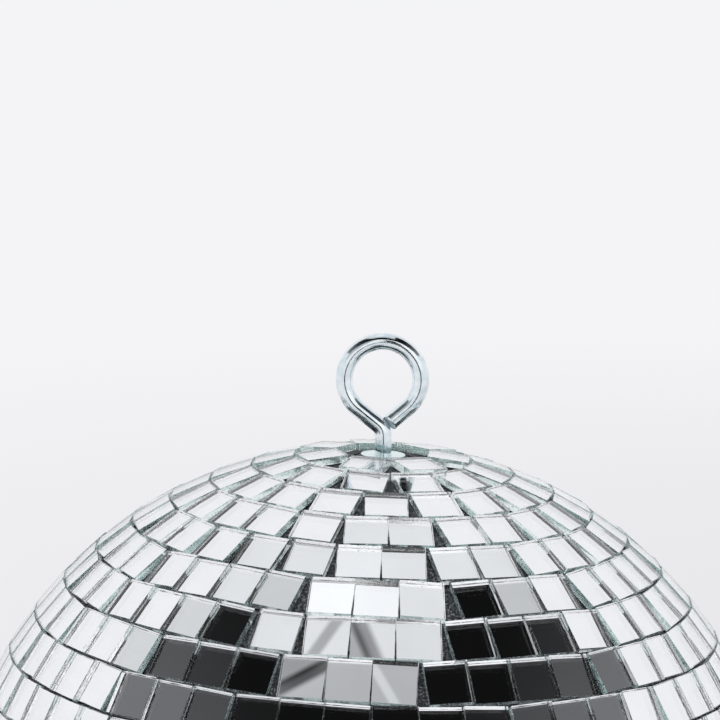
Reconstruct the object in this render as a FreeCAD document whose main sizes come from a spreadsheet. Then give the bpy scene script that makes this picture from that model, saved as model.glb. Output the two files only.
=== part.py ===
"""A 200 mm mirror ball on a bent-wire eye bolt, as a parametric FreeCAD document.

The model is drawn about the ball's centre, with +Z up through the eye bolt and the
front towards -Y.  Every sub-part is then placed with the frame's origin at the point
where a hook bears on the inside of the eye.  All lengths are in millimetres and all
angles in degrees.
"""

import FreeCAD, Part
import math
import os

import Sketcher
from FreeCAD import Placement, Rotation, Vector

OUTPUT_FOLDER = "parts"
ROW_COUNT = 28
BAD_STATES = ("Invalid", "Error")

# The driving dimensions: the spreadsheet's aliases and values.
SIZES = {
    # The ball and its mirror tiles.
    "ball_diameter": 200.0,
    "tile_side": 9.7,
    "tile_thickness": 1.8,
    "tile_joint": 0.1,
    "row_angle": 6.0,
    "pole_opening_angle": 6.0,
    # The hollow core, in two glued halves, and the adhesive that carries the tiles.
    "tile_seat_gap": 0.05,
    "adhesive_thickness": 0.55,
    "core_wall": 2.0,
    "pole_opening_radius": 7.4,
    "lap_length": 4.0,
    "lap_step": 0.7,
    "spigot_wall": 1.8,
    "seam_glue_thickness": 0.3,
    "boss_radius": 6.5,
    "boss_length": 6.0,
    "boss_rise": 0.1,
    "bolt_clearance": 0.06,
    "plug_radius": 5.0,
    "plug_length": 4.0,
    "plug_flange_radius": 7.0,
    "plug_flange_thickness": 0.6,
    # The eye bolt, bent from 4 mm wire.
    "ball_drop": 123.45,
    "wire_diameter": 4.0,
    "eye_inner_diameter": 14.1,
    "leg_angle": 50.4,
    "bend_radius": 3.0,
    "wire_end_setback": 1.95,
    "eye_lean": 3.0,
    "lean_height": 97.9,
    "lean_bend_radius": 20.0,
    "shank_end_height": 82.0,
    "shank_chamfer": 0.5,
    # The collar above the core, and the washer and the two nuts inside it.
    "collar_diameter": 10.6,
    "collar_thickness": 0.8,
    "end_play": 0.1,
    "washer_diameter": 12.0,
    "washer_thickness": 1.0,
    "nut_across_flats": 7.0,
    "nut_thickness": 3.2,
    "jam_nut_thickness": 2.2,
}

# The joint between two tiles that is nearest the front, in degrees right of it, for
# the rows from the top one down.  The rows below these start at the front.
FRONT_JOINTS = (9.4, 4.0, -6.5, 2.5, 0.7, 4.8, 3.9, -0.1, 0.0)

# Expressions for sizes that several sub-parts share.
CORE_RADIUS = (
    "(Sizes.ball_diameter / 2 - Sizes.tile_thickness"
    " - Sizes.tile_seat_gap - Sizes.adhesive_thickness)"
)
ADHESIVE_RADIUS = "(Sizes.ball_diameter / 2 - Sizes.tile_thickness - Sizes.tile_seat_gap)"
TILE_BACK_RADIUS = "(Sizes.ball_diameter / 2 - Sizes.tile_thickness)"
LAP_RADIUS = f"({CORE_RADIUS} - Sizes.lap_step)"
SPIGOT_RADIUS = f"({LAP_RADIUS} - Sizes.seam_glue_thickness)"
BOSS_TOP = f"({CORE_RADIUS} + Sizes.boss_rise)"
BOSS_BOTTOM = f"({BOSS_TOP} - Sizes.boss_length)"
WASHER_BOTTOM = f"({BOSS_BOTTOM} - Sizes.end_play - Sizes.washer_thickness)"
NUT_BOTTOM = f"({WASHER_BOTTOM} - Sizes.nut_thickness)"
JAM_NUT_BOTTOM = f"({NUT_BOTTOM} - Sizes.jam_nut_thickness)"
WIRE_RADIUS = "(Sizes.wire_diameter / 2)"
EYE_RADIUS = "((Sizes.eye_inner_diameter + Sizes.wire_diameter) / 2)"

document = FreeCAD.newDocument("mirror_ball")
sheet = document.addObject("Spreadsheet::Sheet", "Sizes")
subparts = []


def fill_sheet():
    """Write the driving dimensions and the rows' front joints to the spreadsheet."""
    cells = dict(SIZES)
    for row in range(1, ROW_COUNT + 1):
        listed = row <= len(FRONT_JOINTS)
        cells[f"front_joint_of_row_{row}"] = FRONT_JOINTS[row - 1] if listed else 0.0
    for line, (alias, value) in enumerate(cells.items(), start=1):
        sheet.set(f"A{line}", alias)
        sheet.set(f"B{line}", str(value))
        sheet.setAlias(f"B{line}", alias)
    document.recompute()


def size(alias):
    """Return a driving dimension from the spreadsheet."""
    return float(getattr(sheet, alias))


def keep(part, label):
    """Name a finished sub-part and hang it below the frame's origin."""
    part.Label = label
    part.setExpression("Placement.Base.z", "-Sizes.ball_drop")
    subparts.append(part)
    return part


# --- Helpers for PartDesign bodies ---------------------------------------------------


def new_body(name):
    return document.addObject("PartDesign::Body", name + "_body")


def origin_feature(body, role):
    """Return one of a body's own origin planes or axes."""
    return next(item for item in body.Origin.OriginFeatures if item.Role == role)


def new_sketch(body, role="XY_Plane", height=None):
    """Attach a sketch to an origin plane, raised along its normal by an expression."""
    sketch = body.newObject("Sketcher::SketchObject", "Sketch")
    sketch.AttachmentSupport = (origin_feature(body, role), [""])
    sketch.MapMode = "FlatFace"
    if height is not None:
        sketch.setExpression("AttachmentOffset.Base.z", height)
    return sketch


def constrain(sketch, name, expression, kind, *references):
    """Add a named dimension to a sketch and bind it to an expression."""
    index = sketch.addConstraint(Sketcher.Constraint(kind, *references))
    sketch.renameConstraint(index, name)
    sketch.setExpression(f"Constraints.{name}", expression)


def add_circle(sketch, name, radius_expression, radius):
    """Draw a circle about the sketch's origin."""
    circle = sketch.addGeometry(Part.Circle(Vector(), Vector(0, 0, 1), radius))
    sketch.addConstraint(Sketcher.Constraint("Coincident", circle, 3, -1, 1))
    constrain(sketch, name, radius_expression, "Radius", circle, radius)


def add_square(sketch, side_expression, side):
    """Draw a square centred on the sketch's origin."""
    half = side / 2
    corners = [
        Vector(-half, -half, 0),
        Vector(half, -half, 0),
        Vector(half, half, 0),
        Vector(-half, half, 0),
    ]
    for index, corner in enumerate(corners):
        sketch.addGeometry(Part.LineSegment(corner, corners[(index + 1) % 4]))
    for index in range(4):
        sketch.addConstraint(Sketcher.Constraint("Coincident", index, 2, (index + 1) % 4, 1))
    for index in (0, 2):
        sketch.addConstraint(Sketcher.Constraint("Horizontal", index))
        sketch.addConstraint(Sketcher.Constraint("Vertical", index + 1))
    sketch.addConstraint(Sketcher.Constraint("Symmetric", 0, 1, 2, 1, -1, 1))
    constrain(sketch, "width", side_expression, "DistanceX", 0, 1, 0, 2, side)
    constrain(sketch, "height", side_expression, "DistanceY", 1, 1, 1, 2, side)


def pad(body, sketch, length):
    """Pad a sketch along its normal by an expression."""
    feature = body.newObject("PartDesign::Pad", "Pad")
    feature.Profile = sketch
    feature.setExpression("Length", length)
    return feature


def pattern_about_z(body, original, occurrences):
    """Repeat a feature evenly round the ball's axis."""
    feature = body.newObject("PartDesign::PolarPattern", "PolarPattern")
    feature.Originals = [original]
    feature.Axis = (origin_feature(body, "Z_Axis"), [""])
    feature.Angle = 360
    feature.setExpression("Occurrences", occurrences)
    body.Tip = feature
    return feature


def ring(label, outer, inner, bottom, thickness):
    """A flat ring about the bolt's axis: a collar, a washer or a bead of glue."""
    body = new_body(label)
    sketch = new_sketch(body, height=bottom)
    add_circle(sketch, "outer_radius", outer, 2.0)
    add_circle(sketch, "inner_radius", inner, 1.0)
    pad(body, sketch, thickness)
    return keep(body, label)


def hex_nut(label, bottom, thickness):
    """A plain hexagon nut whose thread is drawn at the bolt's nominal diameter."""
    body = new_body(label)
    sketch = new_sketch(body, height=bottom)
    corner_radius = size("nut_across_flats") / math.sqrt(3)
    corners = [
        Vector(corner_radius * math.cos(turn), corner_radius * math.sin(turn), 0)
        for turn in (math.radians(60 * index) for index in range(6))
    ]
    for index, corner in enumerate(corners):
        sketch.addGeometry(Part.LineSegment(corner, corners[(index + 1) % 6]))
    rim = sketch.addGeometry(Part.Circle(Vector(), Vector(0, 0, 1), corner_radius), True)
    sketch.addConstraint(Sketcher.Constraint("Coincident", rim, 3, -1, 1))
    for index in range(6):
        following = (index + 1) % 6
        sketch.addConstraint(Sketcher.Constraint("Coincident", index, 2, following, 1))
        sketch.addConstraint(Sketcher.Constraint("PointOnObject", index, 1, rim))
    for index in range(5):
        sketch.addConstraint(Sketcher.Constraint("Equal", index, index + 1))
    sketch.addConstraint(Sketcher.Constraint("PointOnObject", 0, 1, -1))
    constrain(sketch, "corner_radius", "Sizes.nut_across_flats / sqrt(3)", "Radius", rim,
              corner_radius)
    add_circle(sketch, "bore_radius", WIRE_RADIUS, 1.0)
    pad(body, sketch, thickness)
    return keep(body, label)


# --- Helpers for Part primitives -----------------------------------------------------


def half_sphere(name, radius, upper):
    """A solid half of a ball: the upper or the lower one."""
    sphere = document.addObject("Part::Sphere", name)
    sphere.setExpression("Radius", radius)
    sphere.Angle1 = 0 if upper else -90
    sphere.Angle2 = 90 if upper else 0
    return sphere


def cylinder(name, radius, bottom, length):
    """A cylinder on the ball's axis, its size and height given as expressions."""
    solid = document.addObject("Part::Cylinder", name)
    solid.setExpression("Radius", radius)
    solid.setExpression("Height", length)
    solid.setExpression("Placement.Base.z", bottom)
    return solid


def cut(name, base, tool):
    result = document.addObject("Part::Cut", name)
    result.Base = base
    result.Tool = tool
    return result


def fuse(name, *shapes):
    result = document.addObject("Part::MultiFuse", name)
    result.Shapes = list(shapes)
    return result


def hollow_half(name, outer, inner, upper):
    """A spherical shell's upper or lower half."""
    return cut(
        name,
        half_sphere(name + "_outside", outer, upper),
        half_sphere(name + "_inside", inner, upper),
    )


# --- The mirror tiles ----------------------------------------------------------------


def tiles_in_row(row):
    """An expression for how many square tiles fit round a row, edge to edge.

    The tiles' edges towards the nearer pole are the ones that meet first, so the
    count comes from the radius at those edges, at the back of the glass.
    """
    rows_from_pole = min(row, ROW_COUNT + 1 - row)
    centre_angle = f"((Sizes.pole_opening_angle + {rows_from_pole - 0.5} * Sizes.row_angle) * 1deg)"
    edge_radius = (
        f"({TILE_BACK_RADIUS} * sin({centre_angle})"
        f" - Sizes.tile_side / 2 * cos({centre_angle}))"
    )
    half_width = "((Sizes.tile_side + Sizes.tile_joint) / 2)"
    return f"floor(180deg / atan({half_width} / {edge_radius}))"


def tile_sketch(body, row):
    """A tile's outline on the plane of its back, at the front of its row."""
    angle = f"((Sizes.pole_opening_angle + {row - 0.5} * Sizes.row_angle) * 1deg)"
    sketch = new_sketch(body)
    sketch.AttachmentOffset = Placement(Vector(), Rotation(Vector(1, 0, 0), 45))
    sketch.setExpression("AttachmentOffset.Rotation.Angle", angle)
    sketch.setExpression("AttachmentOffset.Base.y", f"-{TILE_BACK_RADIUS} * sin({angle})")
    sketch.setExpression("AttachmentOffset.Base.z", f"{TILE_BACK_RADIUS} * cos({angle})")
    add_square(sketch, "Sizes.tile_side", size("tile_side"))
    return sketch


def mirror_row(row):
    """One row of square mirror tiles, each a solid of its own, evenly spaced."""
    label = f"mirror_row_{row:02d}"
    body = new_body(label)
    tile = pad(body, tile_sketch(body, row), "Sizes.tile_thickness")
    pattern_about_z(body, tile, tiles_in_row(row))
    body.Placement = Placement(Vector(), Rotation(Vector(0, 0, 1), 1))
    half_step = f"180deg / {tiles_in_row(row)}"
    body.setExpression(
        "Placement.Rotation.Angle", f"Sizes.front_joint_of_row_{row} * 1deg + {half_step}"
    )
    return keep(body, label)


def bottom_tile():
    """The single tile that covers the plug at the lower pole."""
    body = new_body("mirror_tile_bottom")
    sketch = new_sketch(body, height="-Sizes.ball_diameter / 2")
    add_square(sketch, "Sizes.tile_side", size("tile_side"))
    pad(body, sketch, "Sizes.tile_thickness")
    return keep(body, "mirror_tile_bottom")


# --- The core and what is glued to it ------------------------------------------------


def core_upper_shell():
    """The upper half: a boss with the bolt's hole at the pole, a spigot at the seam."""
    shell = hollow_half("upper_wall", CORE_RADIUS, f"{CORE_RADIUS} - Sizes.core_wall", True)
    boss = cylinder("pole_boss", "Sizes.boss_radius", BOSS_BOTTOM, "Sizes.boss_length")
    spigot = cut(
        "spigot",
        cylinder("spigot_outside", SPIGOT_RADIUS, "-Sizes.lap_length", "2 * Sizes.lap_length"),
        cylinder(
            "spigot_inside",
            f"{SPIGOT_RADIUS} - Sizes.spigot_wall",
            "-2 * Sizes.lap_length",
            "4 * Sizes.lap_length",
        ),
    )
    joined = fuse("upper_solid", shell, boss, spigot)
    hole = cylinder(
        "bolt_hole",
        f"{WIRE_RADIUS} + Sizes.bolt_clearance",
        f"{BOSS_BOTTOM} - Sizes.boss_length",
        "3 * Sizes.boss_length",
    )
    return keep(cut("core_upper", joined, hole), "core_upper_shell")


def core_lower_shell():
    """The lower half: a rebate that takes the spigot, and the plug's hole."""
    shell = hollow_half("lower_wall", CORE_RADIUS, f"{CORE_RADIUS} - Sizes.core_wall", False)
    rebate = cylinder("rebate", LAP_RADIUS, "-Sizes.lap_length", "2 * Sizes.lap_length")
    hole = cylinder("plug_hole", "Sizes.plug_radius", f"-{CORE_RADIUS} - 1", "Sizes.plug_length + 2")
    stepped = cut("lower_stepped", shell, rebate)
    return keep(cut("core_lower", stepped, hole), "core_lower_shell")


def bottom_plug():
    """The flanged plug that closes the lower pole."""
    flange = cylinder(
        "plug_flange", "Sizes.plug_flange_radius", f"-{ADHESIVE_RADIUS}",
        "Sizes.plug_flange_thickness",
    )
    stem = cylinder("plug_stem", "Sizes.plug_radius", f"-{ADHESIVE_RADIUS}", "Sizes.plug_length")
    return keep(fuse("plug", flange, stem), "bottom_plug")


def adhesive_coat(label, upper):
    """The mirror adhesive over half of the core, open at the pole."""
    coat = hollow_half(label + "_coat", ADHESIVE_RADIUS, CORE_RADIUS, upper)
    bottom = "0" if upper else f"-{CORE_RADIUS} - Sizes.core_wall"
    opening = cylinder(
        label + "_opening", "Sizes.pole_opening_radius", bottom, f"{CORE_RADIUS} + Sizes.core_wall"
    )
    return keep(cut(label + "_solid", coat, opening), label)


# --- The eye bolt --------------------------------------------------------------------


def eye_path(body):
    """The wire's centre line, from the shank's lower end to the cut end at the eye.

    It runs up the shank, leans over inside the collar, and goes on up the stem, round
    the bend into the left leg, round the eye and down the right leg, which ends just
    short of the bend.
    """
    lean = math.radians(size("eye_lean"))
    leg_angle = math.radians(size("leg_angle"))
    eye_radius = (size("eye_inner_diameter") + size("wire_diameter")) / 2
    eye_height = size("ball_drop") - size("eye_inner_diameter") / 2
    bend_radius = size("bend_radius")
    bend_tangent = bend_radius * math.tan(leg_angle / 2)
    lean_radius = size("lean_bend_radius")
    lean_tangent = lean_radius * math.tan(lean / 2)
    lean_point = size("lean_height") + lean_tangent
    eye_distance = (eye_height - lean_point) / math.cos(lean)
    apex = eye_distance - eye_radius / math.sin(leg_angle)
    leg_length = eye_radius / math.tan(leg_angle)

    def on_stem(distance, right=0.0):
        """A point so far up the leaning stem's line, and so far to the right of it."""
        return Vector(
            right * math.cos(lean) - distance * math.sin(lean),
            lean_point + distance * math.cos(lean) + right * math.sin(lean),
            0,
        )

    def on_leg(distance, side):
        """A point on one of the legs, so far from where they would meet."""
        return on_stem(
            apex + distance * math.cos(leg_angle), side * distance * math.sin(leg_angle)
        )

    shank_end = Vector(0, size("shank_end_height"), 0)
    shank_top = Vector(0, size("lean_height"), 0)
    lean_middle = Vector(
        lean_radius * (math.cos(lean / 2) - 1), shank_top.y + lean_radius * math.sin(lean / 2), 0
    )
    stem_foot = on_stem(lean_tangent)
    stem_top = on_stem(apex - bend_tangent)
    bend_middle = on_stem(
        apex - bend_tangent + bend_radius * math.sin(leg_angle / 2),
        bend_radius * (math.cos(leg_angle / 2) - 1),
    )
    bend_end = on_leg(bend_tangent, -1)
    left_tangent = on_leg(leg_length, -1)
    eye_top = on_stem(eye_distance + eye_radius)
    right_tangent = on_leg(leg_length, 1)
    wire_end = on_leg(size("wire_end_setback"), 1)

    path = new_sketch(body, "XZ_Plane")
    shank = path.addGeometry(Part.LineSegment(shank_end, shank_top))
    lean_bend = path.addGeometry(Part.Arc(shank_top, lean_middle, stem_foot))
    stem = path.addGeometry(Part.LineSegment(stem_foot, stem_top))
    bend = path.addGeometry(Part.Arc(stem_top, bend_middle, bend_end))
    left_leg = path.addGeometry(Part.LineSegment(bend_end, left_tangent))
    eye = path.addGeometry(Part.Arc(left_tangent, eye_top, right_tangent))
    right_leg = path.addGeometry(Part.LineSegment(right_tangent, wire_end))

    def end_at(arc, point):
        return 1 if path.getPoint(arc, 1).isEqual(point, 1e-6) else 2

    joins = (
        (shank, 2, lean_bend, end_at(lean_bend, shank_top)),
        (lean_bend, end_at(lean_bend, stem_foot), stem, 1),
        (stem, 2, bend, end_at(bend, stem_top)),
        (bend, end_at(bend, bend_end), left_leg, 1),
        (left_leg, 2, eye, end_at(eye, left_tangent)),
        (eye, end_at(eye, right_tangent), right_leg, 1),
    )
    for join in joins:
        path.addConstraint(Sketcher.Constraint("Tangent", *join))
    path.addConstraint(Sketcher.Constraint("PointOnObject", shank, 1, -2))
    path.addConstraint(Sketcher.Constraint("PointOnObject", shank, 2, -2))
    path.addConstraint(Sketcher.Constraint("PointOnObject", eye, 3, stem))
    constrain(path, "shank_end", "Sizes.shank_end_height", "DistanceY", -1, 1, shank, 1,
              shank_end.y)
    constrain(path, "lean_height", "Sizes.lean_height", "DistanceY", -1, 1, shank, 2,
              shank_top.y)
    constrain(path, "eye_height", "Sizes.ball_drop - Sizes.eye_inner_diameter / 2",
              "DistanceY", -1, 1, eye, 3, eye_height)
    constrain(path, "lean_bend_radius", "Sizes.lean_bend_radius", "Radius", lean_bend,
              lean_radius)
    constrain(path, "bend_radius", "Sizes.bend_radius", "Radius", bend, bend_radius)
    constrain(path, "eye_radius", EYE_RADIUS, "Radius", eye, eye_radius)
    constrain(path, "stem_angle", "(90 + Sizes.eye_lean) * 1deg", "Angle", stem,
              math.pi / 2 + lean)
    constrain(path, "right_leg_length",
              f"{EYE_RADIUS} / tan(Sizes.leg_angle * 1deg) - Sizes.wire_end_setback",
              "Distance", right_leg, leg_length - size("wire_end_setback"))
    constrain(path, "right_leg_angle", "(Sizes.eye_lean - 90 - Sizes.leg_angle) * 1deg",
              "Angle", right_leg, lean - math.pi / 2 - leg_angle)
    return path


def eye_bolt():
    """The eye bolt: one length of wire, its eye leaning a little to the left."""
    body = new_body("eye_bolt")
    path = eye_path(body)
    section = new_sketch(body, height="Sizes.shank_end_height")
    add_circle(section, "wire_radius", WIRE_RADIUS, size("wire_diameter") / 2)
    document.recompute()
    wire = body.newObject("PartDesign::AdditivePipe", "Wire")
    wire.Profile = section
    wire.Spine = path
    document.recompute()
    shank_edge = next(
        index
        for index, edge in enumerate(wire.Shape.Edges, start=1)
        if edge.BoundBox.ZMax < size("shank_end_height") + 1e-6
    )
    chamfer = body.newObject("PartDesign::Chamfer", "ShankChamfer")
    chamfer.Base = (wire, [f"Edge{shank_edge}"])
    chamfer.setExpression("Size", "Sizes.shank_chamfer")
    body.Tip = chamfer
    return keep(body, "eye_bolt")


# --- The whole ball ------------------------------------------------------------------


def build():
    fill_sheet()
    eye_bolt()
    ring("top_collar", "Sizes.collar_diameter / 2", WIRE_RADIUS,
         f"{BOSS_TOP} + Sizes.end_play", "Sizes.collar_thickness")
    ring("inner_washer", "Sizes.washer_diameter / 2", WIRE_RADIUS,
         WASHER_BOTTOM, "Sizes.washer_thickness")
    hex_nut("hex_nut", NUT_BOTTOM, "Sizes.nut_thickness")
    hex_nut("jam_nut", JAM_NUT_BOTTOM, "Sizes.jam_nut_thickness")
    core_upper_shell()
    core_lower_shell()
    ring("seam_glue", LAP_RADIUS, SPIGOT_RADIUS, "-Sizes.lap_length", "Sizes.lap_length")
    bottom_plug()
    adhesive_coat("adhesive_upper", True)
    adhesive_coat("adhesive_lower", False)
    for row in range(1, ROW_COUNT + 1):
        mirror_row(row)
    bottom_tile()
    document.recompute()


def check():
    """Stop if any object failed to build, or any sub-part has no valid solid."""
    for item in document.Objects:
        if any(state in BAD_STATES for state in item.State):
            raise RuntimeError(f"{item.Name} did not build: {item.State}")
    for part in subparts:
        shape = part.Shape
        if shape.isNull() or not shape.isValid() or not shape.Solids:
            raise RuntimeError(f"{part.Label} has no valid solid")


def export():
    os.makedirs(OUTPUT_FOLDER, exist_ok=True)
    for part in subparts:
        part.Shape.exportStep(os.path.join(OUTPUT_FOLDER, part.Label + ".step"))
        solids = part.Shape.Solids
        print(f"{part.Label}: {len(solids)} solids, {part.Shape.Volume:.1f} mm3")


build()
check()
export()
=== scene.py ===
import math
import random

import bmesh
import bpy
from mathutils import Matrix, Vector, noise


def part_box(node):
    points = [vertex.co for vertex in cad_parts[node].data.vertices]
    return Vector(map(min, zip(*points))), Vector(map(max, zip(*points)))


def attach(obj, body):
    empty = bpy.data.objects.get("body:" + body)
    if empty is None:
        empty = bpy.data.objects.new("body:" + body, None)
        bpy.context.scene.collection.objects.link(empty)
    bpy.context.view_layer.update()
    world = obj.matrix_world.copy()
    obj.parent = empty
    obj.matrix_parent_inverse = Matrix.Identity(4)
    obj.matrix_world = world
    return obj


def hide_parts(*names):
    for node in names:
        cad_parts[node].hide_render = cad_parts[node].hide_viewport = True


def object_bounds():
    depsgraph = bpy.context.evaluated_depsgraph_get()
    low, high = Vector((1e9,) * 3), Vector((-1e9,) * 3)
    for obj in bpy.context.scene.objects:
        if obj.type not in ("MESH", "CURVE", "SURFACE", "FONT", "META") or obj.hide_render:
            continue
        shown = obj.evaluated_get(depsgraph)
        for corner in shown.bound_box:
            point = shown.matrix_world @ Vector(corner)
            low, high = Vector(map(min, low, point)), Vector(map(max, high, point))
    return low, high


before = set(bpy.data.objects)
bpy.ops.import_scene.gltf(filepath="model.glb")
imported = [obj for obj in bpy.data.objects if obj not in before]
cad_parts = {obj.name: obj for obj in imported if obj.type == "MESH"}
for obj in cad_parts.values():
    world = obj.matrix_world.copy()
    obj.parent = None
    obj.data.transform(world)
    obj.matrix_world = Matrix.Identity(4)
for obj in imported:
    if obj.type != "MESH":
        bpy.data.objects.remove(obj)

# A mirror ball on a bent-wire eye bolt, dressed for a product picture. Everything is in
# metres in the frame's own axes: Z up along the turning axis, the front towards -Y.

CAD_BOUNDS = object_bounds()
MM = 0.001

# The ball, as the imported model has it.
LAST_UPPER_ROW = 14
LAST_ROW = 28
ROWS = [f"mirror_row_{row:02d}" for row in range(1, LAST_ROW + 1)]
BALL_CENTRE = Vector((
    0, 0,
    (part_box(ROWS[LAST_UPPER_ROW - 1])[1].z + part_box(ROWS[LAST_UPPER_ROW])[0].z) / 2))
TILE_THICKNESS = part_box("mirror_tile_bottom")[1].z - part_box("mirror_tile_bottom")[0].z
TILE_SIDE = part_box("mirror_tile_bottom")[1].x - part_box("mirror_tile_bottom")[0].x
BALL_RADIUS = BALL_CENTRE.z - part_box("mirror_tile_bottom")[0].z

# How unevenly the tiles were cut and laid by hand.
SEED = 1183
CUT_LARGER = 0.15 * MM         # a cut tile is this much larger than the CAD's plain one
CUT_SPREAD = 0.03 * MM
SKEW_SPREAD = 0.025 * MM
TILT_SPREAD = math.radians(0.5)
TILT_LIMIT = math.radians(1.2)
TURN_SPREAD = math.radians(0.35)
TURN_LIMIT = math.radians(0.8)
LIFT_SPREAD = 0.04 * MM
HEIGHT_SPREAD = 0.05 * MM
POLE_ROW_FLATTER = math.radians(3.0)
POLE_ROW_LIFT = 0.1 * MM

# Tiles go on in short strips, as they come off their backing: those of a strip almost
# touch and lie nearly parallel, and the wedges open between one strip and the next.
STRIP_JOINT = 0.1 * MM
STRIP_PARALLEL = 0.5           # how much of a strip's fan is turned out of its tiles
STRIP_GAP_SPREAD = 0.25
# Lengths to choose from, up to each row from the nearer pole.
STRIP_LENGTHS = {3: (1,), 4: (1, 1, 2), 5: (1, 2, 2), LAST_UPPER_ROW: (2, 3, 3, 4)}
# The strip at the front of a row: its length and the azimuth of its middle, in degrees.
FRONT_STRIPS = {4: (2, 2.5), 5: (2, 0.7), 6: (3, 0), 7: (3, 0), 8: (3, -4)}

# Tiles placed by design instead of by chance, by row: the azimuth that each is near, and
# by how many degrees it faces down, faces right, and turns.
ASKEW_REACH = math.radians(12)
ASKEW = {
    1: ((-16.3, 0.0, 0.0, 0.0), (35.1, 0.0, 0.0, -5.0), (-170.6, -2.0, 0.0, 0.0)),
    2: ((-9.8, 0.0, 1.5, 0.0),),
    7: ((-4.5, 0.0, 0.0, 0.0),),
    8: ((-4.0, 0.0, 0.0, 0.0),),
}

# The snapped glass edge: points along a side, and loops of points through the thickness,
# each at its depth, drawn in and roughened by its own amount.
EDGE_POINTS = 7
EDGE_DEPTHS = (0.0, 0.25, 0.7, 1.0)
EDGE_DRAW_IN = (0.0, 0.01 * MM, 0.04 * MM, 0.08 * MM)
EDGE_ROUGHNESS = (0.006 * MM, 0.003 * MM, 0.003 * MM, 0.005 * MM)
SILVER_CHIPS = 0.05 * MM

SHARP_EDGE = math.radians(35)  # of the metal parts: a sharper bend isn't smoothed


# --- Small helpers -------------------------------------------------------------------


def new_object(name, mesh):
    """Links a new object that holds the mesh."""
    made = bpy.data.objects.new(name, mesh)
    bpy.context.scene.collection.objects.link(made)
    return made


def mesh_object(name, points, faces, materials, indices=None, smooth=False):
    """An object from points and faces, with a material for each face."""
    mesh = bpy.data.meshes.new(name)
    mesh.from_pydata(points, [], faces)
    for material in materials:
        mesh.materials.append(material)
    if indices:
        mesh.polygons.foreach_set("material_index", indices)
    mesh.polygons.foreach_set("use_smooth", [smooth] * len(mesh.polygons))
    mesh.update()
    return new_object(name, mesh)


def faces_between(first, second, sides):
    """The faces that join two loops of points, each given by its first point's index."""
    return [[first + side, first + (side + 1) % sides,
             second + (side + 1) % sides, second + side] for side in range(sides)]


def new_material(name):
    """An empty node material with its output: returns (material, tree, output)."""
    material = bpy.data.materials.new(name)
    material.use_nodes = True
    tree = material.node_tree
    tree.nodes.clear()
    return material, tree, tree.nodes.new("ShaderNodeOutputMaterial")


def node(tree, kind, inputs=None, **settings):
    """A node with its settings and plain input values."""
    made = tree.nodes.new(kind)
    for name, value in settings.items():
        setattr(made, name, value)
    for name, value in (inputs or {}).items():
        made.inputs[name].default_value = value
    return made


def principled(tree, output, **inputs):
    """A Principled shader wired to the output, its sockets named with underscores."""
    shader = tree.nodes.new("ShaderNodeBsdfPrincipled")
    for name, value in inputs.items():
        shader.inputs[name.replace("_", " ")].default_value = value
    tree.links.new(shader.outputs["BSDF"], output.inputs["Surface"])
    return shader


def object_noise(tree, scale, detail=3.0, roughness=0.5):
    """Noise fixed to the object, with scale in features to the metre."""
    place = node(tree, "ShaderNodeTexCoord")
    pattern = node(tree, "ShaderNodeTexNoise",
                   {"Scale": scale, "Detail": detail, "Roughness": roughness})
    tree.links.new(place.outputs["Object"], pattern.inputs["Vector"])
    return pattern.outputs["Fac"]


def ramp(tree, value, stops):
    """A colour ramp of (position, colour) stops over a value."""
    made = node(tree, "ShaderNodeValToRGB")
    elements = made.color_ramp.elements
    while len(elements) < len(stops):
        elements.new(0.5)
    for element, (position, colour) in zip(elements, stops):
        element.position = position
        element.color = (*colour, 1)
    tree.links.new(value, made.inputs["Fac"])
    return made.outputs["Color"]


def spread(tree, value, low, high, start=0.3, end=0.7):
    """Maps noise, which mostly lies from start to end, to values from low to high."""
    made = node(tree, "ShaderNodeMapRange", {
        "From Min": start, "From Max": end, "To Min": low, "To Max": high})
    tree.links.new(value, made.inputs["Value"])
    return made.outputs["Result"]


def bump(tree, shader, height, strength, distance):
    """A bump on the shader from a height pattern, its distance in metres."""
    made = node(tree, "ShaderNodeBump", {"Strength": strength, "Distance": distance})
    tree.links.new(height, made.inputs["Height"])
    tree.links.new(made.outputs["Normal"], shader.inputs["Normal"])


# --- Materials -----------------------------------------------------------------------


def glass_face_material():
    """The tile's clear polished face, with the faintest haze of handling."""
    material, tree, output = new_material("tile_glass")
    shader = principled(tree, output, Base_Color=(0.985, 0.99, 1.0, 1), IOR=1.52,
                        Transmission_Weight=1.0)
    haze = object_noise(tree, 60, detail=4, roughness=0.6)
    tree.links.new(spread(tree, haze, 0.0, 0.012, 0.5, 0.8), shader.inputs["Roughness"])
    return material


def glass_edge_material():
    """The snapped edge of the glass: clear and faintly sea-green, with crushed flecks."""
    material, tree, output = new_material("tile_glass_edge")
    shader = principled(tree, output, IOR=1.52, Transmission_Weight=1.0)
    chips = object_noise(tree, 1800, detail=4, roughness=0.7)
    tree.links.new(
        ramp(tree, chips, ((0.32, (0.66, 0.85, 0.84)), (0.46, (0.89, 0.975, 0.965)),
                           (0.62, (0.97, 1.0, 1.0)))),
        shader.inputs["Base Color"])
    tree.links.new(spread(tree, chips, 0.26, 0.07, 0.3, 0.6), shader.inputs["Roughness"])
    flecks = object_noise(tree, 2300, detail=2, roughness=0.6)
    tree.links.new(spread(tree, flecks, 1.0, 0.15, 0.61, 0.67),
                   shader.inputs["Transmission Weight"])
    return material


def silver_material():
    """The silver behind the glass, very slightly uneven."""
    material, tree, output = new_material("tile_silver")
    shader = principled(tree, output, Metallic=1.0, Roughness=0.0)
    clouds = object_noise(tree, 90, detail=5, roughness=0.6)
    tree.links.new(
        ramp(tree, clouds, ((0.3, (0.90, 0.905, 0.91)), (0.7, (0.945, 0.95, 0.955)))),
        shader.inputs["Base Color"])
    return material


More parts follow.
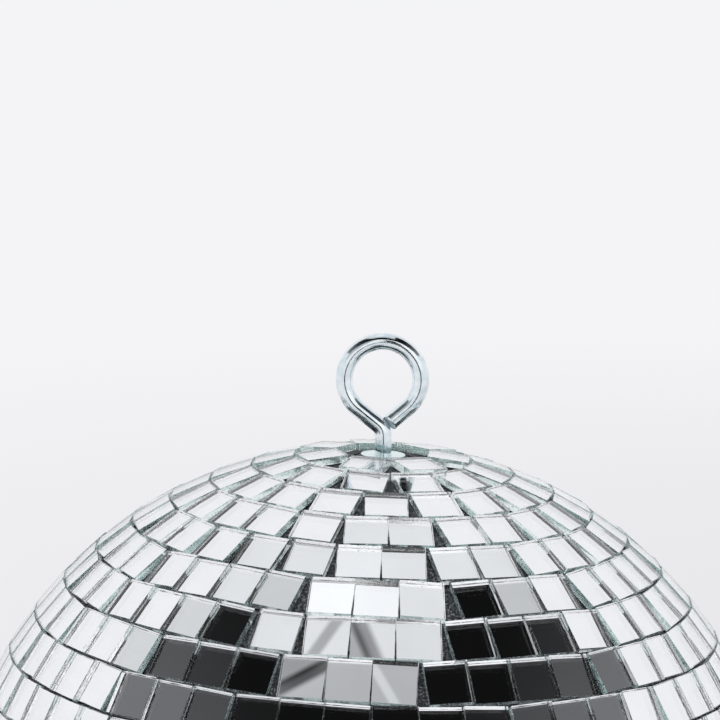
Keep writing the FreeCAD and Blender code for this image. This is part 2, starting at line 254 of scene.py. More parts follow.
def adhesive_material():
    """Dark grey adhesive with a dry, grainy skin."""
    material, tree, output = new_material("adhesive")
    shader = principled(tree, output, IOR=1.45)
    grain = object_noise(tree, 2200, detail=3, roughness=0.7)
    lumps = object_noise(tree, 700, detail=2)
    tree.links.new(
        ramp(tree, grain, ((0.44, (0.010, 0.011, 0.013)), (0.55, (0.05, 0.055, 0.06)),
                           (0.62, (0.22, 0.235, 0.25)), (0.73, (0.52, 0.55, 0.57)))),
        shader.inputs["Base Color"])
    tree.links.new(spread(tree, lumps, 0.45, 0.8), shader.inputs["Roughness"])
    bump(tree, shader, grain, 0.6, 0.12 * MM)
    return material


def moulded_material():
    """The core's dull black moulded plastic."""
    material, tree, output = new_material("core_plastic")
    shader = principled(tree, output, IOR=1.46)
    grain = object_noise(tree, 1500, detail=3)
    clouds = object_noise(tree, 40, detail=3)
    tree.links.new(
        ramp(tree, clouds, ((0.3, (0.014, 0.014, 0.016)), (0.7, (0.028, 0.028, 0.031)))),
        shader.inputs["Base Color"])
    tree.links.new(spread(tree, grain, 0.42, 0.62), shader.inputs["Roughness"])
    bump(tree, shader, grain, 0.25, 0.03 * MM)
    return material


def glue_material():
    """Clear yellowish glue squeezed into the core's seam."""
    material, tree, output = new_material("seam_glue")
    shader = principled(tree, output, IOR=1.5, Subsurface_Weight=0.2)
    clouds = object_noise(tree, 300, detail=3)
    tree.links.new(
        ramp(tree, clouds, ((0.3, (0.52, 0.43, 0.25)), (0.7, (0.70, 0.62, 0.42)))),
        shader.inputs["Base Color"])
    tree.links.new(spread(tree, clouds, 0.15, 0.4), shader.inputs["Roughness"])
    return material


def zinc_material(name, deep, pale, low, high, pitting, metallic=1.0):
    """Bright zinc plating over drawn steel: mottled, with fine pits."""
    material, tree, output = new_material(name)
    shader = principled(tree, output, Metallic=metallic)
    mottle = object_noise(tree, 420, detail=4, roughness=0.6)
    pits = object_noise(tree, 2400, detail=3, roughness=0.6)
    tree.links.new(ramp(tree, mottle, ((0.32, deep), (0.68, pale))),
                   shader.inputs["Base Color"])
    tree.links.new(spread(tree, mottle, low, high), shader.inputs["Roughness"])
    bump(tree, shader, pits, pitting, 0.01 * MM)
    return material


GLASS_FACE = glass_face_material()
GLASS_EDGE = glass_edge_material()
SILVER = silver_material()
ADHESIVE = adhesive_material()
MOULDED = moulded_material()
GLUE = glue_material()
ZINC_WIRE = zinc_material("zinc_wire", (0.64, 0.74, 0.79), (0.89, 0.935, 0.95),
                          0.07, 0.17, 0.5)
ZINC_CUT = zinc_material("zinc_cut", (0.70, 0.80, 0.86), (0.86, 0.93, 0.97),
                         0.45, 0.6, 0.4, metallic=0.4)
ZINC_WASHER = zinc_material("zinc_washer", (0.62, 0.78, 0.79), (0.82, 0.92, 0.91),
                            0.16, 0.3, 0.4)
ZINC_NUT = zinc_material("zinc_nut", (0.50, 0.53, 0.54), (0.70, 0.73, 0.74),
                         0.2, 0.36, 0.4)


# --- Mirror tiles --------------------------------------------------------------------


def tile_centres(name):
    """The centres of the tiles in a CAD node, one for each separate solid in its mesh."""
    work = bmesh.new()
    work.from_mesh(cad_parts[name].data)
    bmesh.ops.remove_doubles(work, verts=work.verts, dist=0.001 * MM)
    centres = []
    waiting = set(work.verts)
    while waiting:
        island = [waiting.pop()]
        for corner in island:          # the list grows as it is walked
            for edge in corner.link_edges:
                other = edge.other_vert(corner)
                if other in waiting:
                    waiting.remove(other)
                    island.append(other)
        centres.append(sum((v.co for v in island), Vector()) / len(island))
    work.free()
    return centres


def azimuth(point):
    """The angle round the turning axis from the front, positive to the right."""
    return math.atan2(point.x, -point.y)


def tile_axes(centre):
    """A tile's own axes as columns: right, up towards the pole, and outwards."""
    outward = (centre - BALL_CENTRE).normalized()
    turn = azimuth(outward)
    right = Vector((math.cos(turn), math.sin(turn), 0))
    return Matrix((right, outward.cross(right), outward)).transposed()


def limited(rng, width, limit):
    """A normal random draw that stays within the limit."""
    return max(-limit, min(limit, rng.gauss(0, width)))


def strips(rng, number, angles):
    """Breaks a row's tile azimuths, in order, into strips. Returns lists of indices."""
    row = min(number, LAST_ROW + 1 - number)
    lengths = STRIP_LENGTHS[min(limit for limit in STRIP_LENGTHS if limit >= row)]
    count = len(angles)
    found = []
    if row in FRONT_STRIPS:
        length, middle = FRONT_STRIPS[row]
        front = math.radians(middle)
        nearest = sorted(range(count), key=lambda index: abs(angles[index] - front))
        start = min(nearest[:length])
        found.append([start + step for step in range(length)])
    taken = sum(len(strip) for strip in found)
    following = found[0][-1] + 1 if found else 0
    while taken < count:
        length = min(rng.choice(lengths), count - taken)
        found.append([(following + step) % count for step in range(length)])
        following += length
        taken += length
    return found


def laid_row(rng, number, centres):
    """Lays a row in strips from its front one round: returns (centre, turn) pairs."""
    angles = [azimuth(centre) for centre in centres]
    outward = centres[0] - BALL_CENTRE
    height = outward.z
    circle = math.hypot(outward.x, outward.y)
    polar = math.atan2(circle, height)
    step = 2 * math.asin((TILE_SIDE + CUT_LARGER + STRIP_JOINT)
                         / (2 * BALL_RADIUS * math.sin(polar)))
    found = strips(rng, number, angles)
    wedges = [rng.uniform(1 - STRIP_GAP_SPREAD, 1 + STRIP_GAP_SPREAD) for _ in found]
    room = 2 * math.pi - step * len(angles)
    first = found[0]
    angle = (sum(angles[index] for index in first) / len(first)
             - step * (len(first) - 1) / 2)
    laid = []
    for strip, wedge in zip(found, wedges):
        middle = angle + step * (len(strip) - 1) / 2
        for _ in strip:
            place = Vector((circle * math.sin(angle), -circle * math.cos(angle), height))
            turn = -(angle - middle) * math.cos(polar) * STRIP_PARALLEL
            laid.append((BALL_CENTRE + place, turn))
            angle += step
        angle += room * wedge / sum(wedges)
    return laid


def laid_tile(rng, number, centre, turn, dip, lift):
    """The place and axes of one tile as a hand laid it, a little off its true place."""
    axes = tile_axes(centre)
    down = limited(rng, TILT_SPREAD, TILT_LIMIT)
    right = limited(rng, TILT_SPREAD, TILT_LIMIT)
    for angle, askew_down, askew_right, askew_turn in ASKEW.get(number, ()):
        if abs(azimuth(centre) - math.radians(angle)) < ASKEW_REACH:
            down = math.radians(askew_down)
            right = math.radians(askew_right)
            turn += math.radians(askew_turn)
    tilt = Matrix.Rotation(down + dip, 3, "X")
    lean = Matrix.Rotation(right, 3, "Y")
    spin = Matrix.Rotation(limited(rng, TURN_SPREAD, TURN_LIMIT) + turn, 3, "Z")
    offset = Vector((0, limited(rng, HEIGHT_SPREAD, 2 * HEIGHT_SPREAD),
                     lift + abs(limited(rng, LIFT_SPREAD, 3 * LIFT_SPREAD))))
    return centre + axes @ offset, axes @ tilt @ lean @ spin


def tile_outline(rng):
    """The corners of one cut tile in its own plane, not quite square."""
    half_width, half_height = (
        (TILE_SIDE + CUT_LARGER + limited(rng, CUT_SPREAD, 2 * CUT_SPREAD)) / 2
        for _ in range(2))
    return [Vector((across * half_width + limited(rng, SKEW_SPREAD, 2 * SKEW_SPREAD),
                    up * half_height + limited(rng, SKEW_SPREAD, 2 * SKEW_SPREAD)))
            for across, up in ((-1, -1), (1, -1), (1, 1), (-1, 1))]


def snapped_loop(rng, corners, depth, roughness, inset):
    """One loop of points round a tile's outline, uneven as snapped glass is."""
    points = []
    for index, corner in enumerate(corners):
        following = corners[(index + 1) % len(corners)]
        along = following - corner
        inward = Vector((-along.y, along.x)).normalized()
        for step in range(EDGE_POINTS):
            amount = inset + abs(rng.gauss(0, roughness))
            flat = corner + along * (step / EDGE_POINTS) + inward * amount
            if step == 0:
                before = (corner - corners[index - 1]).normalized()
                flat = flat + Vector((-before.y, before.x)) * amount
            points.append(Vector((flat.x, flat.y, TILE_THICKNESS * (0.5 - depth))))
    return points


TILE_MATERIALS = (GLASS_FACE, GLASS_EDGE, SILVER)
FACE, EDGE, BACK = range(len(TILE_MATERIALS))


def add_tile(rng, place, axes, points, faces, indices):
    """Adds one tile: a clear face, snapped edges and a silvered, chipped back."""
    corners = tile_outline(rng)
    loops = [snapped_loop(rng, corners, *layer)
             for layer in zip(EDGE_DEPTHS, EDGE_ROUGHNESS, EDGE_DRAW_IN)]
    loops.append(snapped_loop(rng, corners, EDGE_DEPTHS[-1], SILVER_CHIPS,
                              EDGE_DRAW_IN[-1] + 2 * EDGE_ROUGHNESS[-1]))
    start = len(points)
    count = len(loops[0])
    for loop in loops:
        points.extend(place + axes @ point for point in loop)
    faces.append([start + index for index in range(count)])
    indices.append(FACE)
    for level in range(len(loops) - 1):
        upper = start + level * count
        lower = upper + count
        for index in range(count):
            following = (index + 1) % count
            faces.append([upper + following, upper + index, lower + index,
                          lower + following])
            indices.append(EDGE)
    silver = start + (len(loops) - 1) * count
    faces.append([silver + index for index in reversed(range(count))])
    indices.append(BACK)


def mirror_row(name, number):
    """A row of detailed tiles that stands for a CAD row."""
    rng = random.Random(SEED + number)
    points, faces, indices = [], [], []
    centres = sorted(tile_centres(name), key=azimuth)
    laid = laid_row(rng, number, centres) if len(centres) > 1 else [(centres[0], 0.0)]
    dip, lift = 0.0, 0.0
    if number in (1, LAST_ROW):
        dip = -POLE_ROW_FLATTER if number == 1 else POLE_ROW_FLATTER
        lift = POLE_ROW_LIFT
    for centre, turn in laid:
        place, axes = laid_tile(rng, number, centre, turn, dip, lift)
        add_tile(rng, place, axes, points, faces, indices)
    row = mesh_object(f"{name}_glass", points, faces, TILE_MATERIALS, indices)
    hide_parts(name)
    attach(row, "ball")


for number, name in enumerate(ROWS, start=1):
    mirror_row(name, number)
mirror_row("mirror_tile_bottom", LAST_ROW + 1)


# --- Adhesive coat -------------------------------------------------------------------

ADHESIVE_THICKNESS = 0.55 * MM
COAT_RINGS = 110
COAT_SEGMENTS = 420
COAT_HOLLOWS = 0.16 * MM
COAT_GRAIN = 420               # hollows to the radius, about


def adhesive_coat(name):
    """Half of the adhesive coat: a thin shell with a hollowed, uneven outer skin."""
    low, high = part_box(name)
    outer = max(high.x, -low.x)
    inner = outer - ADHESIVE_THICKNESS
    upper = high.z > BALL_CENTRE.z + outer / 2
    side = 1 if upper else -1
    reach = (high.z - BALL_CENTRE.z) if upper else (BALL_CENTRE.z - low.z)
    opening = math.acos(min(1.0, reach / outer))
    points, faces = [], []

    def ring(radius, angle, rough):
        for segment in range(COAT_SEGMENTS):
            turn = 2 * math.pi * segment / COAT_SEGMENTS
            way = Vector((math.sin(angle) * math.cos(turn),
                          math.sin(angle) * math.sin(turn), side * math.cos(angle)))
            depth = COAT_HOLLOWS * (0.5 + 0.5 * noise.noise(way * COAT_GRAIN)) * rough
            points.append(BALL_CENTRE + way * (radius - depth))

    angles = [opening + (math.pi / 2 - opening) * step / COAT_RINGS
              for step in range(COAT_RINGS + 1)]
    for angle in angles:
        ring(outer, angle, 1)
    for angle in reversed(angles):
        ring(inner, angle, 0)
    rings = 2 * (COAT_RINGS + 1)
    for level in range(rings):
        for segment in range(COAT_SEGMENTS):
            following = (segment + 1) % COAT_SEGMENTS
            below = (level + 1) % rings
            face = [level * COAT_SEGMENTS + segment, below * COAT_SEGMENTS + segment,
                    below * COAT_SEGMENTS + following, level * COAT_SEGMENTS + following]
            faces.append(face if upper else face[::-1])
    coat = mesh_object(f"{name}_skin", points, faces, (ADHESIVE,), smooth=True)
    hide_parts(name)
    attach(coat, "ball")


adhesive_coat("adhesive_upper")
adhesive_coat("adhesive_lower")


# --- Eye bolt and collar -------------------------------------------------------------

EYE_LEAN = math.radians(3.0)
LEG_ANGLE = math.radians(50.4)
BEND_RADIUS = 3.0 * MM
LEAN_BEND_RADIUS = 20.0 * MM
WIRE_END_SETBACK = 1.95 * MM
WIRE_STEP = 0.25 * MM
WIRE_SIDES = 48
WIRE_WAVER = 0.012 * MM
WIRE_GRAIN = 900
FOOT_CHAMFER = 0.8             # the foot's radius, as a share of the wire's
END_BEVEL = 0.12 * MM
END_SLANT = math.radians(22)   # the cut faces a little to the front
END_SLANT_RUN = 3.0 * MM


def arc_points(centre, start, end, clockwise):
    """Points along an arc from start to end in the eye's plane, as (x, z) vectors."""
    first = math.atan2(start.y - centre.y, start.x - centre.x)
    last = math.atan2(end.y - centre.y, end.x - centre.x)
    sweep = (first - last if clockwise else last - first) % (2 * math.pi)
    radius = (start - centre).length
    count = max(3, round(sweep * radius / WIRE_STEP))
    sign = -1 if clockwise else 1
    return [centre + radius * Vector((math.cos(first + sign * sweep * step / count),
                                      math.sin(first + sign * sweep * step / count)))
            for step in range(1, count + 1)]


def run_points(start, end):
    """Points along a straight run, without its start."""
    count = max(1, round((end - start).length / WIRE_STEP))
    return [start.lerp(end, step / count) for step in range(1, count + 1)]


def wire_line():
    """The wire's centre line in the eye's plane, from the shank's foot to the cut end."""
    low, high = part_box("eye_bolt")
    wire_radius = high.y
    outer = (high.x - low.x) / 2
    eye_radius = outer - wire_radius
    eye = Vector(((low.x + high.x) / 2, high.z - outer))
    up = Vector((-math.sin(EYE_LEAN), math.cos(EYE_LEAN)))
    right = Vector((math.cos(EYE_LEAN), math.sin(EYE_LEAN)))
    lean_tangent = LEAN_BEND_RADIUS * math.tan(EYE_LEAN / 2)
    lean_point = Vector((0, eye.y + eye.x / math.tan(EYE_LEAN)))
    shank_top = lean_point - Vector((0, lean_tangent))
    stem_foot = lean_point + up * lean_tangent
    apex = eye - up * eye_radius / math.sin(LEG_ANGLE)
    left_leg = up * math.cos(LEG_ANGLE) - right * math.sin(LEG_ANGLE)
    right_leg = up * math.cos(LEG_ANGLE) + right * math.sin(LEG_ANGLE)
    leg_length = eye_radius / math.tan(LEG_ANGLE)
    bend_tangent = BEND_RADIUS * math.tan(LEG_ANGLE / 2)
    stem_top = apex - up * bend_tangent
    bend_end = apex + left_leg * bend_tangent
    left_join = apex + left_leg * leg_length
    right_join = apex + right_leg * leg_length
    line = [Vector((0, low.z))]
    line += run_points(line[0], shank_top)
    line += arc_points(shank_top - Vector((LEAN_BEND_RADIUS, 0)), shank_top, stem_foot,
                       False)
    line += run_points(stem_foot, stem_top)
    line += arc_points(stem_top - right * BEND_RADIUS, stem_top, bend_end, False)
    line += run_points(bend_end, left_join)
    line += arc_points(eye, left_join, right_join, True)
    line += run_points(right_join, apex + right_leg * WIRE_END_SETBACK)
    return line, wire_radius


def eye_bolt():
    """The wire as one swept skin, with a bevelled cut end and a chamfered foot."""
    line, radius = wire_line()
    ends = {0: FOOT_CHAMFER, len(line) - 1: 1 - END_BEVEL / radius}
    points, faces = [], []
    for index, centre in enumerate(line):
        before = line[max(0, index - 1)]
        after = line[min(len(line) - 1, index + 1)]
        along = (after - before).normalized()
        across = Vector((along.y, 0, -along.x))
        middle = Vector((centre.x, 0, centre.y))
        for side in range(WIRE_SIDES):
            turn = 2 * math.pi * side / WIRE_SIDES
            way = across * math.cos(turn) + Vector((0, 1, 0)) * math.sin(turn)
            waver = WIRE_WAVER * noise.noise((middle + way * radius) * WIRE_GRAIN)
            point = middle + way * (radius * ends.get(index, 1) - abs(waver))
            remaining = (len(line) - 1 - index) * WIRE_STEP
            slant = max(0.0, 1 - remaining / END_SLANT_RUN)
            slant *= math.tan(END_SLANT) * point.y
            points.append(point + Vector((along.x, 0, along.y)) * slant)
    last = (len(line) - 1) * WIRE_SIDES
    for first in range(0, last, WIRE_SIDES):
        faces += faces_between(first, first + WIRE_SIDES, WIRE_SIDES)
    faces.append(list(reversed(range(WIRE_SIDES))))
    faces.append([last + side for side in range(WIRE_SIDES)])
    indices = [0] * (len(faces) - 1) + [1]
    bolt = mesh_object("eye_bolt_wire", points, faces, (ZINC_WIRE, ZINC_CUT), indices,
                       smooth=True)
    for cap in bolt.data.polygons[-2:]:
        cap.use_smooth = False
    bolt.data.set_sharp_from_angle(angle=SHARP_EDGE)
    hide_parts("eye_bolt")
    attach(bolt, "hanger")


eye_bolt()

COLLAR_ROUND = 0.22 * MM
COLLAR_ROUND_STEPS = 6
COLLAR_CUP = 0.12 * MM
COLLAR_SEGMENTS = 128


def collar():
    """The thin stamped washer on the pole: rounded outside, and cupped a hair."""
    low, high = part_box("top_collar")
    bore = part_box("eye_bolt")[1].y
    outer = high.x
    angles = [math.pi / 2 * step / COLLAR_ROUND_STEPS
              for step in range(1, COLLAR_ROUND_STEPS)]
    profile = [(bore, low.z), (outer - COLLAR_ROUND, low.z)]
    profile += [(outer - COLLAR_ROUND * (1 - math.sin(angle)),
                 low.z + COLLAR_ROUND * (1 - math.cos(angle))) for angle in angles]
    profile += [(outer, low.z + COLLAR_ROUND), (outer, high.z - COLLAR_ROUND)]
    profile += [(outer - COLLAR_ROUND * (1 - math.cos(angle)),
                 high.z - COLLAR_ROUND * (1 - math.sin(angle))) for angle in angles]
    profile += [(outer - COLLAR_ROUND, high.z),
                ((bore + outer) / 2, high.z - COLLAR_CUP / 2),
                (bore, high.z - COLLAR_CUP)]
    points, faces = [], []
    for level, (radius, height) in enumerate(profile):
        for segment in range(COLLAR_SEGMENTS):
            turn = 2 * math.pi * segment / COLLAR_SEGMENTS
            points.append((radius * math.cos(turn), radius * math.sin(turn), height))
        below = (level + 1) % len(profile)
        faces += faces_between(level * COLLAR_SEGMENTS, below * COLLAR_SEGMENTS,
                               COLLAR_SEGMENTS)
    washer = mesh_object("top_collar_washer", points, faces, (ZINC_WASHER,), smooth=True)
    washer.data.set_sharp_from_angle(angle=SHARP_EDGE)
    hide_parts("top_collar")
    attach(washer, "hanger")


collar()


# --- Parts that keep their CAD shape -------------------------------------------------

KEPT = {
    "inner_washer": ZINC_WASHER,
    "hex_nut": ZINC_NUT,
    "jam_nut": ZINC_NUT,
    "core_upper_shell": MOULDED,
    "core_lower_shell": MOULDED,
    "bottom_plug": MOULDED,
    "seam_glue": GLUE,
}
for name, material in KEPT.items():
    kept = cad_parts[name]
    kept.data.materials.clear()
    kept.data.materials.append(material)


# --- Studio cards --------------------------------------------------------------------

# What the mirrors reflect: a dark room over and before the ball, with a softbox hung
# under its ceiling. Places overhead are (across, back), as tangents from the ball's
# centre; places on an upright card are (across, up), in metres.
CEILING = 4.0                  # above the ball's centre
ROOM_DEPTH = 6.0
ROOM_HALF = 6.9
ROOM_SIDE = ROOM_HALF / CEILING
ROOM_FRONT = -ROOM_DEPTH / CEILING
ROOM_CORNERS = ((-ROOM_SIDE, 0.16), (-ROOM_SIDE, ROOM_FRONT), (ROOM_SIDE, ROOM_FRONT),
                (ROOM_SIDE, 0.41), (0.0, 0.15), (-0.1, 0.05))
ROOM_BLACK_TO = 0.55           # across, to either side
ROOM_GREY_FROM = 1.5
ROOM_BLACK = 0.006
ROOM_GREY = 0.19
# A pale rim beyond the dark ceiling, at its back left.
RIM_CORNERS = ((-ROOM_SIDE, 0.16), (-ROOM_SIDE, 0.46), (-0.62, 0.30), (-0.62, 0.09))

SOFTBOX_DROP = 0.05
SOFTBOX_CORNERS = ((-0.70, 0.45), (-0.50, 0.08), (-0.43, -0.15), (-0.33, -0.6),
                   (0.27, -0.6), (0.29, 0.15), (0.55, 0.22), (0.7, 0.45))
SOFTBOX_FRONT = -0.52          # where it is dimmest
SOFTBOX_FULL = -0.20           # and where it has reached its full light
SOFTBOX_DIMMEST = 0.5
SOFTBOX_BRIGHTEST = 0.85
SOFTBOX_LEAST = 0.02
# Uneven spots on the softbox: middle, reach and how much brighter, or dimmer if below
# zero.
SPOTS = (
    ((-0.09, 0.0), 0.26, 0.30),
    ((-0.38, 0.08), 0.20, -0.20),
    ((0.55, 0.25), 0.16, -0.25),
)
# Folds in its cloth: middle, heading in degrees, half width, and how much darker, or
# brighter if below zero.
FOLDS = (
    ((-0.196, -0.225), 49, 0.0034, 0.40),
    ((-0.012, -0.249), 115, 0.0050, 0.50),
    ((-0.018, -0.252), 115, 0.0080, 0.36),
    ((-0.330, -0.449), 22, 0.0046, 0.44),
    ((-0.329, -0.440), 22, 0.0090, 0.20),
    ((0.095, -0.495), 124, 0.0030, -0.22),
)
FOLD_REACH = 0.06
FOLD_CORE = 0.3                # of its half width, where it is darkest

FRONT_WALL_SIDES = (-6.9, -1.2)
FRONT_WALL_FOOT = 1.5          # above the ball's centre
FRONT_LIGHT_DISTANCE = 3.0
FRONT_LIGHT_CORNERS = ((-0.5, 0.0), (3.6, 0.0), (3.6, 2.3), (-0.2, 1.9))


def emitting(name, colour, strength=1.0, pattern=None):
    """A material that shines evenly, or by a pattern."""
    material, tree, output = new_material(name)
    light = node(tree, "ShaderNodeEmission",
                 {"Color": (*colour, 1), "Strength": strength})
    tree.links.new(light.outputs["Emission"], output.inputs["Surface"])
    if pattern:
        tree.links.new(pattern(tree), light.inputs["Strength"])
    return material


def overhead(corners, drop=0.0):
    """Points on the ceiling, or a drop under it."""
    return [BALL_CENTRE + Vector((across * CEILING, back * CEILING, CEILING - drop))
            for across, back in corners]


def upright(distance, corners):
    """Points at a distance in front of the ball's axis."""
    return [Vector((across, -distance, up)) for across, up in corners]


def rectangle(sides, foot, top):
    """The (across, up) corners of a rectangle."""
    return ((sides[0], foot), (sides[1], foot), (sides[1], top), (sides[0], top))


def card(name, corners, material):
    """A flat reflector that shows only in reflections and through glass."""
    made = mesh_object(name, corners, [list(range(len(corners)))], (material,))
    made.visible_camera = False
    made.visible_diffuse = False
    made.visible_shadow = False
    made.visible_volume_scatter = False


def eased(tree, value, start, end, low, high):
    """A value that eases from low, up to the start, to high, from the end on."""
    made = node(tree, "ShaderNodeMapRange",
                {"From Min": start, "From Max": end, "To Min": low, "To Max": high},
                interpolation_type="SMOOTHSTEP")
    tree.links.new(value, made.inputs["Value"])
    return made.outputs["Result"]


def joined(tree, operation, first, second):
    """The result of a sum, product or the like of a value and a value or number."""
    made = node(tree, "ShaderNodeMath", operation=operation)
    tree.links.new(first, made.inputs[0])
    if isinstance(second, float):
        made.inputs[1].default_value = second
    else:
        tree.links.new(second, made.inputs[1])
    return made.outputs["Value"]


def absolute(tree, value):
    """The size of a value, without its sign."""
    made = node(tree, "ShaderNodeMath", operation="ABSOLUTE")
    tree.links.new(value, made.inputs[0])
    return made.outputs["Value"]


def place_along(tree, axis):
    """The shaded point's place along one of its object's axes."""
    place = node(tree, "ShaderNodeTexCoord")
    parts = node(tree, "ShaderNodeSeparateXYZ")
    tree.links.new(place.outputs["Object"], parts.inputs["Vector"])
    return parts.outputs[axis]


def place_from(tree, point, operation):
    """The shaded point's distance or difference from a fixed point, as a node."""
    place = node(tree, "ShaderNodeTexCoord")
    away = node(tree, "ShaderNodeVectorMath", {1: point}, operation=operation)
    tree.links.new(place.outputs["Object"], away.inputs[0])
    return away


def patch(tree, middle, reach):
    """A soft round patch on the softbox: one in the middle, none beyond its reach."""
    away = place_from(tree, overhead([middle], SOFTBOX_DROP)[0], "DISTANCE")
    return eased(tree, away.outputs["Value"], 0.0, reach * CEILING, 1.0, 0.0)


def fold(tree, middle, heading, width, depth):
    """How much a soft straight fold in the softbox's cloth darkens it."""
    away = place_from(tree, overhead([middle], SOFTBOX_DROP)[0], "SUBTRACT")
    side = node(tree, "ShaderNodeVectorMath",
                {1: (-math.sin(heading), math.cos(heading), 0)}, operation="DOT_PRODUCT")
    tree.links.new(away.outputs["Vector"], side.inputs[0])
    shade = eased(tree, absolute(tree, side.outputs["Value"]),
                  FOLD_CORE * width * CEILING, width * CEILING, depth, 0.0)
    return joined(tree, "MULTIPLY", shade, patch(tree, middle, FOLD_REACH))


def room_glow(tree):
    """The dark room, black in the middle and greyer towards its sides."""
    return eased(tree, absolute(tree, place_along(tree, "X")),
                 ROOM_BLACK_TO * CEILING, ROOM_GREY_FROM * CEILING, ROOM_BLACK, ROOM_GREY)


def softbox_glow(tree):
    """The softbox: dimmer towards its front edge, with uneven spots and folds."""
    total = eased(tree, place_along(tree, "Y"), SOFTBOX_FRONT * CEILING,
                  SOFTBOX_FULL * CEILING, SOFTBOX_DIMMEST, SOFTBOX_BRIGHTEST)
    for middle, reach, brighter in SPOTS:
        spot = joined(tree, "MULTIPLY", patch(tree, middle, reach), brighter)
        total = joined(tree, "ADD", total, spot)
    for middle, heading, width, depth in FOLDS:
        shade = fold(tree, middle, math.radians(heading), width, depth)
        total = joined(tree, "SUBTRACT", total, shade)
    return joined(tree, "MAXIMUM", total, SOFTBOX_LEAST)


ROOM = emitting("room_dark", (0.95, 0.97, 1.0), pattern=room_glow)
SOFTBOX = emitting("softbox", (0.96, 0.98, 1.0), pattern=softbox_glow)
CEILING_RIM = emitting("ceiling_rim", (0.96, 0.98, 1.0), strength=0.74)
FRONT_WALL = emitting("front_wall", (0.96, 0.97, 1.0), strength=0.55)
FRONT_LIGHT = emitting("front_light", (0.98, 0.99, 1.0), strength=1.15)

card("ceiling", overhead(ROOM_CORNERS), ROOM)
card("softbox_card", overhead(SOFTBOX_CORNERS, SOFTBOX_DROP), SOFTBOX)
card("ceiling_rim_card", overhead(RIM_CORNERS), CEILING_RIM)
card("front_wall",
     upright(ROOM_DEPTH, rectangle(FRONT_WALL_SIDES, BALL_CENTRE.z + FRONT_WALL_FOOT,
                                   BALL_CENTRE.z + CEILING)), FRONT_WALL)
card("front_light_card", upright(FRONT_LIGHT_DISTANCE, FRONT_LIGHT_CORNERS), FRONT_LIGHT)


# --- Floor, light and camera ---------------------------------------------------------

BACKGROUND = (0.905, 0.905, 0.922)
STUDIO_WHITE = (0.93, 0.935, 0.955)
FLOOR_GAP = 0.3 * MM
FLOOR_LEVEL = CAD_BOUNDS[0].z - FLOOR_GAP
FLOOR_RADIUS = 30.0
FLOOR_SEGMENTS = 96
# Painted shade on the floor: greyest round this point, behind the ball to its right, and
# fading out further away.
FLOOR_PAINTED_SHADE_MIDDLE = Vector((0.6, 0.5, FLOOR_LEVEL))
FLOOR_PAINTED_SHADE_TO = 0.3            # distance from there
FLOOR_UNSHADED_FROM = 1.5
STAND_DISTANCE = 0.85
STAND_SIDES = (-0.005, 0.185)
STAND_TOP = 0.42


def floor_material():
    """Plain pale floor, with painted shade: a touch greyer behind the ball to its right.
    """
    material, tree, output = new_material("floor")
    shader = principled(tree, output, Roughness=0.9, Specular_IOR_Level=0.0)
    away = place_from(tree, FLOOR_PAINTED_SHADE_MIDDLE, "DISTANCE")
    unshaded = eased(tree, away.outputs["Value"], FLOOR_PAINTED_SHADE_TO, FLOOR_UNSHADED_FROM, 0.0, 1.0)
    # Painted shade: the darker colour near that point, and the floor's own pale colour
    # further out.
    tree.links.new(ramp(tree, unshaded, ((0.0, (0.706, 0.701, 0.705)),
                                      (1.0, (0.789, 0.785, 0.787)))),
                   shader.inputs["Base Color"])
    return material


def floor():
    """The floor that the ball rests on."""
    turns = [2 * math.pi * step / FLOOR_SEGMENTS for step in range(FLOOR_SEGMENTS)]
    rim = [(FLOOR_RADIUS * math.cos(turn), FLOOR_RADIUS * math.sin(turn), FLOOR_LEVEL)
           for turn in turns]
    made = mesh_object("floor", rim, [list(range(FLOOR_SEGMENTS))], (floor_material(),))


floor()
card("camera_stand",
     upright(STAND_DISTANCE, rectangle(STAND_SIDES, FLOOR_LEVEL, STAND_TOP)), ROOM)


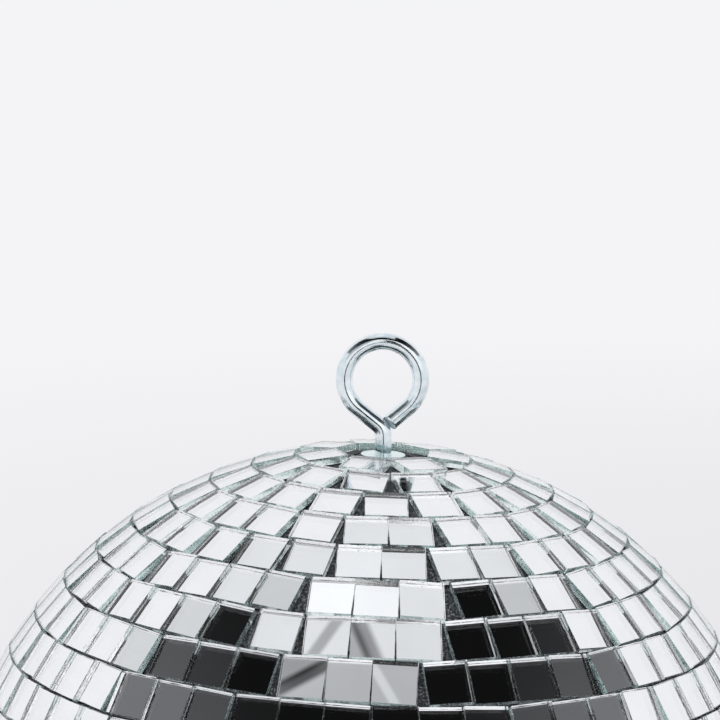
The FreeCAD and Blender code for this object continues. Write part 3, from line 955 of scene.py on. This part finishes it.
def studio_world():
    """A pale studio all round: one shade for the camera, another for all else."""
    world = bpy.data.worlds.new("studio")
    world.use_nodes = True
    tree = world.node_tree
    tree.nodes.clear()
    output = tree.nodes.new("ShaderNodeOutputWorld")
    seen = node(tree, "ShaderNodeBackground", {"Color": (*BACKGROUND, 1)})
    shining = node(tree, "ShaderNodeBackground", {"Color": (*STUDIO_WHITE, 1)})
    path = tree.nodes.new("ShaderNodeLightPath")
    either = tree.nodes.new("ShaderNodeMixShader")
    tree.links.new(path.outputs["Is Camera Ray"], either.inputs["Fac"])
    tree.links.new(shining.outputs["Background"], either.inputs[1])
    tree.links.new(seen.outputs["Background"], either.inputs[2])
    tree.links.new(either.outputs["Shader"], output.inputs["Surface"])
    bpy.context.scene.world = world


SUN_ENERGY = 0.75
SUN_ANGLE = math.radians(60)
SUN_TURNS = (math.radians(20), math.radians(-15), 0)


def soft_sun():
    """A broad light from above that isn't seen in the mirrors."""
    data = bpy.data.lights.new("soft_sun", "SUN")
    data.energy = SUN_ENERGY
    data.angle = SUN_ANGLE
    sun = bpy.data.objects.new("soft_sun", data)
    sun.rotation_euler = SUN_TURNS
    sun.visible_glossy = False
    bpy.context.scene.collection.objects.link(sun)


CAMERA_LENS = 145.4
CAMERA_SENSOR = 36.0
CAMERA_NEAR = 0.05
CAMERA_FAR = 100.0
CAMERA_FROM_BALL = Vector((0, -0.680, 0.2162))
CAMERA_PAN = math.radians(0.542)
CAMERA_PITCH = math.radians(-7.989)
CAMERA_ROLL = math.radians(2.433)


def camera():
    """The camera: a long lens, close in, looking a little down on the ball."""
    data = bpy.data.cameras.new("camera")
    data.lens = CAMERA_LENS
    data.sensor_width = CAMERA_SENSOR
    data.clip_start = CAMERA_NEAR
    data.clip_end = CAMERA_FAR
    made = bpy.data.objects.new("camera", data)
    aim = (Matrix.Rotation(CAMERA_PAN, 4, "Z")
           @ Matrix.Rotation(math.pi / 2 + CAMERA_PITCH, 4, "X")
           @ Matrix.Rotation(CAMERA_ROLL, 4, "Z"))
    made.matrix_world = Matrix.Translation(BALL_CENTRE + CAMERA_FROM_BALL) @ aim
    bpy.context.scene.collection.objects.link(made)
    bpy.context.scene.camera = made


studio_world()
soft_sun()
camera()
bpy.context.scene.view_settings.view_transform = "Standard"
# Light in the stacked glass bounces between silver and edges many times before it leaves.
bpy.context.scene.cycles.max_bounces = 24
bpy.context.scene.cycles.glossy_bounces = 16
bpy.context.scene.cycles.transmission_bounces = 24
